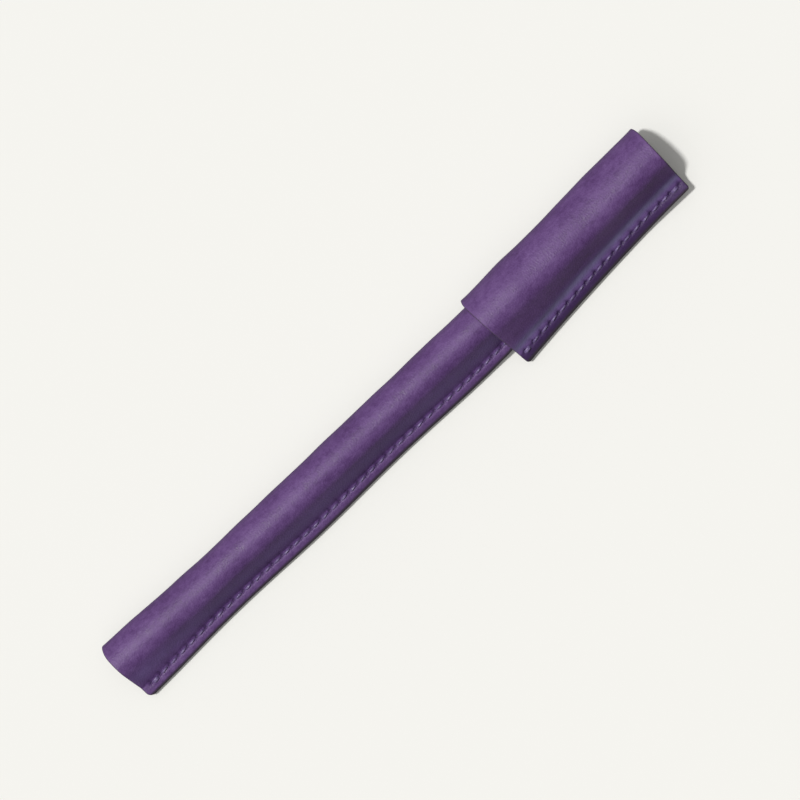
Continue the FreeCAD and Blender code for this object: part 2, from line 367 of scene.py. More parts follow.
@dataclass(frozen=True)
class Sampling:
    """Numbers of points on the strokes of a cross-section, and the first ones' distances from a leaf's edge."""

    root: int = 4
    belly_bend: int = 6
    flat: int = 8
    crown: int = 14
    fold: int = 16
    brow: int = 16
    hollow: int = 10
    leaf: int = 13
    leaf_rim: tuple[float, ...] = (0.0, 0.05, 0.14, 0.28, 0.5)

    def leaf_shares(self, length: float) -> Array:
        """Shares of a leaf of some length, both ends included, close together at its edge."""
        rim = np.array(self.leaf_rim) / length
        return np.concatenate((rim, np.linspace(rim[-1], 1.0, self.leaf)[1:]))


@dataclass(kw_only=True)
class FoldedStrip(ABC):
    """A leather strip folded into a tube, with its two leaves sewn together along a flange."""

    body: str
    leather_node: str
    needle_node: str
    bobbin_node: str
    lie: Lie
    start_x: float
    end_x: float
    seam: Seam
    flange_base: float
    belly_radius: float
    near_slant: float
    corner_round: float = 0.8
    fold_corner: float = 0.7
    fold_corner_span: float = 4.0
    droop: float
    lump_seed: int
    lump_height: float
    edge_dye: float
    # Where the upper leaf gets painted sheen, by distance from the flange's edge.
    painted_sheen_band: Bell
    sampling: Sampling = Sampling()
    cut_from_end: float = 0.3
    cut_from_edge: float = 0.25
    cut_fade: float = 0.6
    darkening_fade: float = 0.5
    darkening_from_edge: float = 0.8
    end_rub: Bell = Bell(0.9, middle=0.3)
    edge_rub: Bell = Bell(0.7, 0.0, 1.25)
    wall: float = 1.0
    leaf_gap: float = 0.1
    lower_root: float = 0.45
    fold_split: float = math.pi / 3
    rim_round: float = 0.32
    edge_round: float = 0.85
    flesh_rim_share: float = 0.3
    slant_fade: float = 14.0
    corner_fade: float = 3.0
    free_fade: float = 3.0
    belly_top: float = 2.0
    belly_cosine: float = 0.2
    lump_waves: int = 16
    lump_lengths: tuple[float, float] = (7.0, 26.0)
    band_rows: int = 4

    @abstractmethod
    def grain_shape(self, x: Array) -> Shape:
        """Cross-sections of the outer, grain side at x."""

    @abstractmethod
    def flesh_shape(self, x: Array) -> Shape:
        """Cross-sections that the inner, flesh side is offset from."""

    @abstractmethod
    def hang(self, x: Array) -> Array:
        """How far the flange's edge hangs down at x."""

    def swelling(self, x: Array, across: Array) -> Array:
        """Local bulges of the surface, by place along and distance across from the crest."""
        return np.zeros_like(across + x)

    @property
    def upper_face(self) -> float:
        """Height of the flange's upper face where it doesn't droop."""
        return self.flange_base + 2 * self.wall + self.leaf_gap

    def section(self, shape: Shape) -> Trace:
        """Outer path of the cross-sections.

        It runs along the lower leaf, bends down to the flat belly, round the fold in three tangent arcs to the
        crest, over the brow, down a straight flank and through a hollow bend to the upper leaf. The flank is
        the common tangent that crosses between the brow's circle and the hollow bend's circle.

        Args:
            shape: The sections' sizes.

        Returns:
            The path's points.
        """
        crown = shape.height / 2 * (1 + shape.flatness)
        split = self.fold_split
        fold = (shape.height / 2 - crown * (1 - math.cos(split))) / math.cos(split)
        crest_y = shape.fold_y - crown * math.sin(split) - fold * (1 - math.sin(split))
        bend = self.lower_root + self.belly_radius
        dive = math.acos(1 - self.flange_base / bend)
        belly_y = shape.root_y + bend * math.sin(dive)
        across = shape.edge_y + shape.foot - crest_y
        up = self.upper_face + shape.upper_root - shape.height + shape.brow
        reach = shape.brow + shape.upper_root
        flank = np.sqrt(across ** 2 + up ** 2 - reach ** 2)
        heading = np.arctan2(up, across) + np.arctan2(reach, flank)
        over = np.mod(heading, 2 * math.pi) - math.pi
        count, leaf = self.sampling, self.sampling.leaf_shares(self.seam.allowance)
        strokes = [
            Stroke(shape.root_y - shape.edge_y, None, leaf[:-1]),
            Stroke(self.lower_root, -dive, even(count.root)),
            Stroke(self.belly_radius, dive, even(count.belly_bend)),
            Stroke(crest_y - belly_y, None, even(count.flat)),
            Stroke(crown, split, even(count.crown)),
            Stroke(fold, math.pi - 2 * split, even(count.fold)),
            Stroke(crown, split, even(count.crown)),
            Stroke(shape.brow, over, even(count.brow)),
            Stroke(flank, None, even(count.flat)),
            Stroke(shape.upper_root, -over, even(count.hollow)),
            Stroke(shape.foot, None, (1.0 - leaf[1:])[::-1]),
        ]
        return traced(shape.edge_y, self.flange_base, strokes)

    def along(self, x: Array, y: Array, from_edge: Array) -> Array:
        """Place along the sleeve of every point, with a slanted near end and rounded corners.

        Args:
            x: Station of every row, as a column.
            y: Place across of every point.
            from_edge: Distance from the flange's edge along the surface.

        Returns:
            x minus y times the slant's tangent, and plus a quarter circle's inset at the flange corners and a
            cubic one at the fold corners, each fading out away from its end.
        """
        to_fold = (y.max(axis=1, keepdims=True) - y) / self.fold_corner_span
        inset = rounding(from_edge, self.corner_round)
        inset = inset + self.fold_corner * np.clip(1.0 - to_fold, 0.0, 1.0) ** 3
        from_start, from_end = x - self.start_x, self.end_x - x
        slanted = x - y * math.tan(self.near_slant) * (1 - ease(from_start / self.slant_fade))
        near, far = 1 - ease(from_start / self.corner_fade), 1 - ease(from_end / self.corner_fade)
        return slanted + inset * near - inset * far

    def sag(self, x: Array, from_edge: Array) -> Array:
        """How far the flange droops: a square law that starts at the stitches and is largest at the edge."""
        return self.hang(x) * np.clip(1 - from_edge / self.seam.allowance, 0.0, 1.0) ** 2

    def lumps(self, x: Array, across: Array) -> Array:
        """Gentle unevenness: the sum of seeded sine waves over the surface.

        Args:
            x: Place along the strip.
            across: Distance across it along the surface.

        Returns:
            The height of the sum, in which a wave counts by the root of its length.
        """
        rng = np.random.default_rng(self.lump_seed)
        wave_length = rng.uniform(*self.lump_lengths, self.lump_waves)
        direction = rng.uniform(0.0, math.pi, self.lump_waves)
        phase = rng.uniform(0.0, 2 * math.pi, self.lump_waves)
        place = x[..., None] * np.cos(direction) + across[..., None] * np.sin(direction)
        height = np.sin(2 * math.pi * place / wave_length + phase) * np.sqrt(wave_length)
        return self.lump_height * height.sum(axis=-1) / np.sqrt(wave_length.sum())

    def placed(self, x: Array, path: Trace, out: Array, from_edge: Array) -> Array:
        """Points of a path, moved outwards across it and drooping with the flange.

        Args:
            x: Station of every row, as a column.
            path: The cross-sections' path.
            out: How far each point moves along the path's right-hand normal, (sin, -cos) of its heading.
            from_edge: Distance from the flange's edge that rounds the corners.

        Returns:
            A grid of points in millimetres.
        """
        y = path.y + np.sin(path.heading) * out
        z = path.z - np.cos(path.heading) * out - self.sag(x, path.from_edge)
        return np.stack((self.along(x, y, from_edge), y, z), axis=-1)

    def masks(self, path: Trace, from_end: Array, holes: Array, free: Array) -> dict[Mask, Array]:
        """Values of the grain side's masks.

        Args:
            path: The grain side's path.
            from_end: Distance of every row from the nearer end.
            holes: The sewing's painted shade, 1 in the holes.
            free: 0 on the flange and 1 away from it.

        Returns:
            One grid for each mask.
        """
        from_edge = path.from_edge
        upward = np.clip(-np.cos(path.heading), 0.0, 1.0)
        end_cut = 1 - ease(from_end / self.cut_from_end)
        edge_cut = 1 - ease((from_edge - self.cut_from_edge) / self.cut_fade)
        # The flange gets darker outside the stitches and towards its cut edge.
        strip_darkening = self.edge_dye * (1 - ease((from_edge - self.seam.inset) / self.darkening_fade))
        edge_darkening = 1 - ease(from_edge / self.darkening_from_edge)
        upper_half = path.gone > path.gone[:, -1:] / 2
        return {
            Mask.CUT: np.maximum(end_cut, edge_cut),
            Mask.FLESH: np.zeros_like(path.gone),
            # Painted shade of the sewing.
            Mask.PRESS: holes,
            Mask.FLANGE_DARKENING: np.maximum(strip_darkening, edge_darkening),
            # Painted sheen: a pale bluish band on the upper leaf beside the seam.
            Mask.BLOOM: self.painted_sheen_band.at(from_edge) * upper_half,
            Mask.RUB: (self.end_rub.at(from_end) * free + self.edge_rub.at(from_edge)) * upward,
        }

    def surfaces(self) -> tuple[Array, Array, dict[Mask, Array]]:
        """Grain and flesh sides as grids of points, and the grain side's masks.

        The grain side is the section's path, moved outwards by the lumps, the swelling and the sewing's relief
        and inwards by the rims' rounding. The flesh side is its own path moved inwards by the wall.

        Returns:
            The two grids in millimetres and the masks.
        """
        x = self.seam.stations(self.start_x, self.end_x)[:, None]
        path = self.section(self.grain_shape(x))
        from_edge = path.from_edge
        from_end = np.minimum(x - self.start_x, self.end_x - x)
        crest = np.abs(path.heading - math.pi).argmin(axis=1)[:, None]
        across = path.gone - np.take_along_axis(path.gone, crest, axis=1)
        every_x = x + 0 * path.gone
        # holes carries the sewing's painted shade.
        relief, holes = self.seam.relief(every_x, from_edge)
        free = ease((from_edge - self.seam.allowance) / self.free_fade)
        rim = np.maximum(rounding(from_end, self.rim_round), rounding(from_edge, self.edge_round))
        out = relief + free * (self.lumps(every_x, path.gone) + self.swelling(x, across)) - rim
        belly = (path.z < self.belly_top) & (np.cos(path.heading) > self.belly_cosine)
        out = np.where(belly, np.minimum(out, 0.0), out)
        depth = self.wall - self.flesh_rim_share * np.minimum(rim, self.rim_round)
        grain = self.placed(x, path, out, from_edge)
        flesh = self.placed(x, self.section(self.flesh_shape(x)), -depth, from_edge)
        return grain, flesh, self.masks(path, from_end, holes, free)

    def build(self, material: bpy.types.Material) -> None:
        """Makes the leather as one closed piece: both sides, and a straight band between them round the cut.

        Args:
            material: The leather's finish.
        """
        grain, flesh, masks = self.surfaces()
        rows, columns = grain.shape[:2]
        side = rows * columns
        border = perimeter(rows, columns)
        outer, inner = grain.reshape(-1, 3), flesh.reshape(-1, 3)
        share = (np.arange(1, self.band_rows) / self.band_rows)[:, None, None]
        band = outer[border] * (1 - share) + inner[border] * share
        points = np.concatenate((outer, inner, band.reshape(-1, 3)))
        steps = np.arange((self.band_rows - 1) * len(border)).reshape(self.band_rows - 1, -1)
        rings = np.concatenate((border[None], 2 * side + steps, side + border[None]))
        faces = [grid_quads(rows, columns), grid_quads(rows, columns, side)[:, ::-1], ring_quads(rings)]
        values = {}
        for mask, on_grain in masks.items():
            on_flesh = np.full(side, float(mask is Mask.FLESH))
            on_band = np.full(band.size // 3, float(mask in (Mask.CUT, Mask.FLANGE_DARKENING)))
            values[mask] = np.concatenate((on_grain.ravel(), on_flesh, on_band))
        piece = mesh_object(f"{self.body}_leather_skin", self.lie.apply(points), faces, values)
        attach(piece, self.body)
        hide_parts(self.leather_node)
        dress(piece, material)


@dataclass(kw_only=True)
class Sleeve(FoldedStrip):
    """The round tube that the pen goes into, spread a little at its closed lower end."""

    body: str = "sleeve"
    leather_node: str = "body_leather"
    needle_node: str = "body_needle_thread"
    bobbin_node: str = "body_bobbin_thread"
    start_x: float = 0.0
    end_x: float = 124.5
    seam: Seam = Seam(first_x=2.6, holes=40, pitch=3.03, allowance=2.6)
    flange_base: float = 0.65
    belly_radius: float = 2.5
    near_slant: float = math.radians(1.6)
    corner_round: float = 1.5
    droop: float = 0.55
    lump_seed: int = 3
    lump_height: float = 0.06
    edge_dye: float = 0.14
    painted_sheen_band: Bell = Bell(3.0, 0.4, 6.4)
    edge_rub: Bell = Bell(0.7, 1.5, 1.25)
    fold_offset: float = 7.1
    edge_offset: float = 7.65
    tube_height: float = 10.6
    brow_share: float = 0.72
    hollow_bend: float = 0.6
    hang_gain: float = 0.0105
    hang_end: float = 0.85
    mouth_x: float = 116.0
    mouth_fade: float = 8.0
    tuck_in: float = 0.3
    tuck_fade: float = 5.0
    tuck_lead: float = 0.4
    flare_length: float = 32.0
    fold_gain: float = 1.05
    end_drop: float = 1.3
    end_flatness: float = 0.3
    edge_wave: float = 0.2
    edge_wave_length: float = 50.0
    edge_wave_crest: float = 55.4
    edge_gain: float = 0.42
    edge_flare_length: float = 22.0
    edge_flare_power: float = 1.5

    def free_of_cap(self, x: Array) -> Array:
        """1 on the bare sleeve, falling to 0 by a smooth step before the cap's mouth."""
        return 1 - ease((x - self.mouth_x) / self.mouth_fade + 1.0)

    def grain_shape(self, x: Array) -> Shape:
        """Sections of a tube whose flange edge wanders like a cosine and flares by a power law at the end.

        Args:
            x: Stations, as a column.

        Returns:
            The sections' sizes.
        """
        flare = ease(1 - x / self.flare_length)
        wander = self.edge_wave * np.cos(2 * math.pi * (x - self.edge_wave_crest) / self.edge_wave_length)
        spread = np.clip(1 - x / self.edge_flare_length, 0.0, 1.0) ** self.edge_flare_power
        tucked = ease((x - self.mouth_x) / self.tuck_fade + self.tuck_lead)
        edge_y = -self.edge_offset - wander * self.free_of_cap(x)
        edge_y = edge_y - self.edge_gain * spread + self.tuck_in * tucked
        height = self.tube_height - self.end_drop * flare
        flatness = self.end_flatness * flare
        return Shape(
            fold_y=self.fold_offset + self.fold_gain * flare,
            edge_y=edge_y,
            root_y=edge_y + self.seam.allowance,
            height=height,
            flatness=flatness,
            brow=self.brow_share * height / 2 * (1 + flatness),
            foot=self.seam.allowance,
            upper_root=self.hollow_bend,
        )

    def flesh_shape(self, x: Array) -> Shape:
        """The same sections, because the leather is evenly thick."""
        return self.grain_shape(x)

    def hang(self, x: Array) -> Array:
        """The edge hangs to the table, so more where the tube lies higher, and a set amount inside the cap."""
        return self.hang_end + (self.droop - self.hang_end + self.hang_gain * x) * self.free_of_cap(x)


@dataclass(kw_only=True)
class Cap(FoldedStrip):
    """The wider tube that slips over the sleeve, its seam drawn in towards the closed end."""

    body: str = "cap"
    leather_node: str = "cap_leather"
    needle_node: str = "cap_needle_thread"
    bobbin_node: str = "cap_bobbin_thread"
    start_x: float = 115.6
    end_x: float = 171.0
    seam: Seam = Seam(first_x=117.2, holes=18, pitch=3.09)
    flange_base: float = 2.004
    belly_radius: float = 2.4
    near_slant: float = math.radians(4.9)
    fold_corner: float = 0.4
    fold_corner_span: float = 2.5
    droop: float = 1.85
    lump_seed: int = 8
    lump_height: float = 0.08
    edge_dye: float = 0.75
    painted_sheen_band: Bell = Bell(1.7, 0.75, 4.6)
    sampling: Sampling = Sampling(hollow=30)
    fold_offset: float = 8.82
    fold_lean: float = 1.75
    lip_length: float = 2.5
    tube_height: float = 13.6
    top_flatness: float = 0.2
    brow_radius: float = 4.6
    web_foot: float = 1.6
    hollow_bend: float = 3.6
    end_edge: float = 8.6
    draw_in: float = 3.65
    draw_in_power: float = 1.45
    end_rise_length: float = 16.0
    tuck_x: float = 124.5
    room_mouth_edge: float = 12.15
    room_tuck_edge: float = 11.5
    room_draw_in: float = 2.95
    room_bend: float = 0.45
    ease_off: float = 8.0
    bump_x: float = 126.3
    bump_along: Bell = Bell(2.6, 0.2)
    bump_across: Bell = Bell(3.0)
    ring: Bell = Bell(6.0, 0.25)
    dip_across: Bell = Bell(5.0, 0.25)
    dip_fade: float = 12.0
    dip_end: float = 3.0

    def grain_shape(self, x: Array) -> Shape:
        """Sections whose flange edge comes in as a power of the distance from the closed end.

        Args:
            x: Stations, as a column.

        Returns:
            The sections' sizes.
        """
        length = self.end_x - self.start_x
        behind_lip = np.clip(x - self.start_x - self.lip_length, 0.0, None)
        left = np.clip((self.end_x - x) / length, 0.0, 1.0)
        edge_y = -self.end_edge - self.draw_in * left ** self.draw_in_power
        return Shape(
            fold_y=self.fold_offset + self.fold_lean * behind_lip / (length - self.lip_length),
            edge_y=edge_y,
            root_y=edge_y + self.seam.allowance,
            height=self.tube_height,
            flatness=self.top_flatness,
            brow=self.brow_radius,
            foot=self.web_foot,
            upper_root=self.hollow_bend,
        )

    def flesh_shape(self, x: Array) -> Shape:
        """Sections that leave room inside for the sleeve, and follow the grain side beyond its end.

        Args:
            x: Stations, as a column.

        Returns:
            The sections' sizes. The room narrows evenly to the sleeve's end and by a square law beyond it, and
            a smooth step leads from the room's profile to the grain side's.
        """
        grain = self.grain_shape(x)
        lip_x = self.start_x + self.lip_length
        taken = np.clip((x - lip_x) / (self.tuck_x - lip_x), 0.0, 1.0)
        beyond = np.clip((x - self.tuck_x) / (self.end_x - self.tuck_x), 0.0, 1.0)
        edge = self.room_mouth_edge + (self.room_tuck_edge - self.room_mouth_edge) * taken
        edge = edge - self.room_draw_in * (1 - (1 - beyond) ** 2)
        root_y = self.seam.allowance - edge
        free = ease((x - self.tuck_x) / self.ease_off)
        return replace(
            grain,
            root_y=root_y,
            flatness=grain.flatness * free,
            brow=grain.height / 2 * (1 - free) + grain.brow * free,
            foot=(root_y - grain.edge_y) * (1 - free) + grain.foot * free,
            upper_root=self.room_bend * (1 - free) + grain.upper_root * free,
        )

    def hang(self, x: Array) -> Array:
        """The edge hangs to the table and rises to the closed end by a smooth step."""
        return self.droop * (1 - ease((x - self.end_x) / self.end_rise_length + 1.0))

    def swelling(self, x: Array, across: Array) -> Array:
        """A low bell-shaped bump and ring over the sleeve's hidden end, and a shallow dip behind it.

        Args:
            x: Stations, as a column.
            across: Distance across from the crest.

        Returns:
            The height added to the surface.
        """
        beyond = x - self.bump_x
        bump = self.bump_along.at(beyond) * self.bump_across.at(across)
        dip = ease(beyond / self.dip_fade) * ease((self.end_x - self.dip_end - x) / self.dip_fade)
        return bump + self.ring.at(beyond) - self.dip_across.at(across) * dip


@dataclass
class SeamThread:
    """A three-ply thread sewn along one leaf of a strip's flange, doubled over its first and last stitch."""

    strip: FoldedStrip
    leaf: Leaf
    samples: int = 24
    sides: int = 18
    plies: int = 3
    ply_depth: float = 0.2
    twist_length: float = 1.7
    lay: float = 0.08
    arch: float = 0.08
    sink: float = 0.8
    dive_share: float = 0.1
    dive_length: float = 0.3
    slant_share: float = 0.34
    double_offset: float = 0.36
    double_lift: float = 0.12
    nudge: float = 1e-6

    def line(self) -> Array:
        """Centre line of the thread.

        Each stitch goes straight from hole to hole and a little across the row, while its height follows a
        smooth step out of one hole, a low half sine, and the same step into the next hole.

        Returns:
            Points in millimetres, one row each.
        """
        strip, seam = self.strip, self.strip.seam
        order = np.concatenate(([1], np.arange(seam.holes), [seam.holes - 2]))
        here, there = seam.hole_xs[order[:-1]][:, None], seam.hole_xs[order[1:]][:, None]
        doubled = np.zeros_like(here)
        doubled[[0, -1]] = 1.0
        t = np.linspace(0.0, 1.0, self.samples, endpoint=False)[None, :]
        out = ease((np.minimum(t, 1 - t) - self.dive_share) / self.dive_length)
        x = here + (there - here) * t
        across = seam.slant * np.clip((t - 0.5) / self.slant_share, -1.0, 1.0) * np.sign(there - here)
        across = (across - self.double_offset * doubled) * out
        lift = self.sink + self.lay + self.double_lift * doubled
        height = lift * out - self.sink + self.arch * np.sin(math.pi * t)
        edge_y = strip.grain_shape(x.reshape(-1, 1)).edge_y.reshape(x.shape)
        face = strip.upper_face if self.leaf is Leaf.UPPER else strip.flange_base
        z = face + self.leaf.value * height
        return np.stack((x, edge_y + seam.inset + across, z), axis=-1).reshape(-1, 3)

    def build(self, material: bpy.types.Material) -> None:
        """Makes the thread: a ring of radius r (1 - d + d |cos(1.5 (a - k s))|) carried along the line.

        The angle a goes round the ring, s is the length along the line, k the twist and d the depth between
        the plies, so the ring has three lobes that wind round the thread. The rings stand across the line as
        seen from the side, and the nudge keeps their heading defined where the thread turns back.

        Args:
            material: The thread's finish.
        """
        line = self.line()
        ahead = np.gradient(line, axis=0) * np.array((1.0, 0.0, 1.0)) + np.array((self.nudge, 0.0, 0.0))
        ahead /= np.linalg.norm(ahead, axis=1, keepdims=True)
        gone = np.concatenate(([0.0], np.cumsum(np.linalg.norm(np.diff(line, axis=0), axis=1))))
        beside = np.broadcast_to(np.array((0.0, 1.0, 0.0)), ahead.shape)
        above = np.cross(ahead, beside)
        angle = (2 * math.pi / self.sides) * np.arange(self.sides)[None, :]
        twist = 2 * math.pi / self.twist_length
        lobe = np.abs(np.cos(self.plies / 2 * (angle - twist * gone[:, None] / self.plies)))
        radius = self.strip.seam.thread_radius * (1 - self.ply_depth + self.ply_depth * lobe)
        spoke = above[:, None, :] * np.cos(angle)[..., None] + beside[:, None, :] * np.sin(angle)[..., None]
        tube = line[:, None, :] + radius[..., None] * spoke
        points = np.concatenate((tube.reshape(-1, 3), line[:1], line[-1:]))
        rings = np.arange(tube.shape[0] * self.sides).reshape(-1, self.sides)
        after = np.roll(rings, -1, axis=1)
        tip = np.full(self.sides, rings.size)
        ends = np.concatenate((rows_of(tip, rings[0], after[0]), rows_of(tip + 1, after[-1], rings[-1])))
        upper = self.leaf is Leaf.UPPER
        kind, node = ("needle", self.strip.needle_node) if upper else ("bobbin", self.strip.bobbin_node)
        name = f"{self.strip.body}_{kind}_stitches"
        piece = mesh_object(name, self.strip.lie.apply(points), [ring_quads(rings), ends], {})
        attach(piece, self.strip.body)
        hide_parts(node)
        dress(piece, material)


class Value:
    """A shader socket that takes part in Python arithmetic; every operation adds a Math node."""

    def __init__(self, graph: "Graph", socket: bpy.types.NodeSocket) -> None:
        """Keeps the socket and the graph that it belongs to."""
        self.graph = graph
        self.socket = socket

    def math(self, operation: str, *operands: Any) -> "Value":
        """A Math node of any operation on the operands."""
        return self.graph.node("ShaderNodeMath", dict(enumerate(operands)), operation=operation)

    def __add__(self, other: Any) -> "Value":
        """self + other."""
        return self.math("ADD", self, other)

    __radd__ = __add__

    def __sub__(self, other: Any) -> "Value":
        """self - other."""
        return self.math("SUBTRACT", self, other)

    def __rsub__(self, other: Any) -> "Value":
        """other - self."""
        return self.math("SUBTRACT", other, self)

    def __mul__(self, other: Any) -> "Value":
        """self * other."""
        return self.math("MULTIPLY", self, other)

    __rmul__ = __mul__

    def clamped(self) -> "Value":
        """The value held between 0 and 1."""
        return self.graph.node("ShaderNodeClamp", {"Value": self})


class Texture(Enum):
    """Nodes that make a texture as their first output."""

    NOISE = "ShaderNodeTexNoise"
    CELLS = "ShaderNodeTexVoronoi"


@dataclass(frozen=True)
class Layer:
    """A texture of a scale per metre, stretched along the axes, and its weights in a finish."""

    scale: float
    detail: float = 0.0
    tone: float = 0.0
    rough: float = 0.0
    relief: float = 0.0
    stretch: Place = (1.0, 1.0, 1.0)
    texture: Texture = Texture.NOISE


class Graph:
    """A node tree that is filled through one method."""

    def __init__(self, owner: bpy.types.Material | bpy.types.World) -> None:
        """Starts with an empty tree.

        Args:
            owner: What the tree shades.
        """
        owner.use_nodes = True
        self.tree = owner.node_tree
        self.tree.nodes.clear()

    def node(self, kind: str, sockets: dict[Any, Any], output: Any = 0, **settings: Any) -> Value:
        """Adds any node.

        Args:
            kind: The node's type.
            sockets: Values or links of its input sockets, by name or number.
            output: The output to hand back, by name or number.
            settings: The node's own settings, set before its sockets. stops are a ramp's (place, colour) pairs.

        Returns:
            The chosen output, or the first input of a node that has no outputs.
        """
        made = self.tree.nodes.new(kind)
        for setting, choice in settings.items():
            if setting == "stops":
                ramp = made.color_ramp
                while len(ramp.elements) < len(choice):
                    ramp.elements.new(1.0)
                for element, (place, colour) in zip(ramp.elements, choice):
                    element.position = place
                    element.color = (*colour, 1.0)
            else:
                setattr(made, setting, choice)
        for socket, given in sockets.items():
            if isinstance(given, Value):
                self.tree.links.new(given.socket, made.inputs[socket])
            else:
                made.inputs[socket].default_value = given
        return Value(self, made.outputs[output]) if made.outputs else Value(self, made.inputs[0])

    def blend(self, share: Value, first: Any, second: Any) -> Value:
        """Two colours or sockets, mixed by the second one's share."""
        first, second = ((*side, 1.0) if isinstance(side, tuple) else side for side in (first, second))
        return self.node("ShaderNodeMix", {0: share, 6: first, 7: second}, 2, data_type="RGBA")

    def textured(self, place: Value, layer: Layer) -> Value:
        """A layer's texture at a place."""
        spread = self.node("ShaderNodeVectorMath", {0: place, 1: layer.stretch}, operation="MULTIPLY")
        return self.node(layer.texture.value, {"Vector": spread, "Scale": layer.scale, "Detail": layer.detail})

    def mask(self, mask: Mask) -> Value:
        """A value that the mesh carries."""
        return self.node("ShaderNodeAttribute", {}, "Fac", attribute_name=mask.value)


@dataclass(frozen=True)
class Coat:
    """A colour laid on where a mask says so, and the roughness that it adds.

    Its share is the mask times start + gain * noise. A thin colour shows instead where the mask is low.
    """

    mask: Mask
    colour: Colour
    start: float = 1.0
    gain: float = 0.0
    noise: Layer | None = None
    thin: Colour | None = None
    rough: float = 0.0


@dataclass(frozen=True)
class Finish:
    """A procedural material whose layers vary its tone, roughness and relief, with coats over its colour.

    The stops are a ramp's tones and colours, and the relief's height is in metres.
    """

    name: str
    stops: tuple[tuple[float, Colour], ...]
    layers: tuple[Layer, ...]
    roughness: float
    relief_strength: float
    relief_height: float
    gloss: float = 0.5
    coats: tuple[Coat, ...] = ()

    def material(self) -> bpy.types.Material:
        """Builds the shader in object coordinates.

        Tone and roughness are a middle value plus each layer's departure from 0.5 times its weight.

        Returns:
            The material.
        """
        material = bpy.data.materials.new(self.name)
        graph = Graph(material)
        place = graph.node("ShaderNodeTexCoord", {}, "Object")
        made = {layer: graph.textured(place, layer) for layer in self.layers}
        tone = reduce(add, ((made[each] - 0.5) * each.tone for each in made if each.tone), 0.5)
        rough = reduce(add, ((made[each] - 0.5) * each.rough for each in made if each.rough), self.roughness)
        relief = reduce(add, (made[each] * each.relief for each in made if each.relief))
        colour = graph.node("ShaderNodeValToRGB", {"Fac": tone.clamped()}, "Color", stops=self.stops)
        for coat in self.coats:
            mask = graph.mask(coat.mask)
            share = mask * (coat.start + coat.gain * made[coat.noise] if coat.noise else coat.start)
            laid = graph.blend(mask, coat.thin, coat.colour) if coat.thin else coat.colour
            colour = graph.blend(share.clamped(), colour, laid)
            rough = rough + mask * coat.rough
        bump = {"Strength": self.relief_strength, "Distance": self.relief_height, "Height": relief}
        sockets = {
            "Base Color": colour,
            "Roughness": rough.clamped(),
            "Specular IOR Level": self.gloss,
            "Normal": graph.node("ShaderNodeBump", bump, "Normal"),
        }
        shader = graph.node("ShaderNodeBsdfPrincipled", sockets, "BSDF")
        graph.node("ShaderNodeOutputMaterial", {"Surface": shader})
        return material


BLOTCH = Layer(420.0, 4.0, tone=0.5, rough=0.3, relief=0.45)
MOTTLE = Layer(1050.0, 4.0, tone=0.55, rough=0.25, relief=0.35)

# Dyed, waxed leather: mottled colour, fine grain, dark cut edges and a rough flesh side. Its coats also paint
# sheen beside the seam, paint shade in the stitches and darken the flange outside the stitches.
LEATHER = Finish(
    name="purple_leather",
    stops=((0.25, (0.086, 0.036, 0.138)), (0.5, (0.120, 0.056, 0.188)), (0.8, (0.160, 0.084, 0.240))),
    layers=(
        Layer(95.0, 3.0, tone=0.5),
        BLOTCH,
        MOTTLE,
        Layer(1500.0, 3.0, tone=0.4, relief=0.25, stretch=(0.3, 1.0, 1.0)),
        Layer(3600.0, 2.0, tone=0.6, relief=0.5),
        Layer(2100.0, relief=0.6, texture=Texture.CELLS),
    ),
    roughness=0.52,
    relief_strength=0.55,
    relief_height=0.00014,
    gloss=0.34,
    coats=(
        # Painted sheen: pale bluish on the web beside the seam, violet where the band is faint.
        Coat(Mask.BLOOM, (0.170, 0.168, 0.264), 0.5, 1.0, BLOTCH, thin=(0.168, 0.092, 0.335)),
        Coat(Mask.RUB, (0.160, 0.084, 0.240), -0.35, 1.6, MOTTLE),
        # Darker outside the stitches and towards the flange's cut edge.
        Coat(Mask.FLANGE_DARKENING, (0.038, 0.017, 0.075), 0.8, 0.3, BLOTCH),
        # Painted shade: near-black in the stitch holes, the notches and along the stitch row.
        Coat(Mask.PRESS, (0.020, 0.009, 0.042), 0.65),
        Coat(Mask.FLESH, (0.070, 0.042, 0.092), rough=0.3),
        Coat(Mask.CUT, (0.064, 0.049, 0.063), 0.7, 0.3, BLOTCH, rough=0.12),
    ),
)

# Waxed sewing thread with fine fibres along its plies.
THREAD = Finish(
    name="waxed_thread",
    stops=((0.2, (0.105, 0.070, 0.172)), (0.75, (0.186, 0.130, 0.286))),
    layers=(
        Layer(5200.0, 2.0, tone=0.6, rough=0.2, relief=1.0, stretch=(0.35, 1.0, 1.0)),
        Layer(600.0, 2.0, tone=0.7),
    ),
    roughness=0.42,
    relief_strength=0.5,
    relief_height=0.00003,
)

# Stacked, burnished leather of the end plugs.
PLUG = Finish(
    name="burnished_plug",
    stops=((0.3, (0.030, 0.018, 0.042)), (0.72, (0.075, 0.046, 0.100))),
    layers=(
        Layer(1900.0, 4.0, tone=0.55, relief=1.0, stretch=(1.0, 0.4, 1.0)),
        Layer(380.0, 3.0, tone=0.45, rough=0.25),
    ),
    roughness=0.55,
    relief_strength=0.6,
    relief_height=0.0001,
)


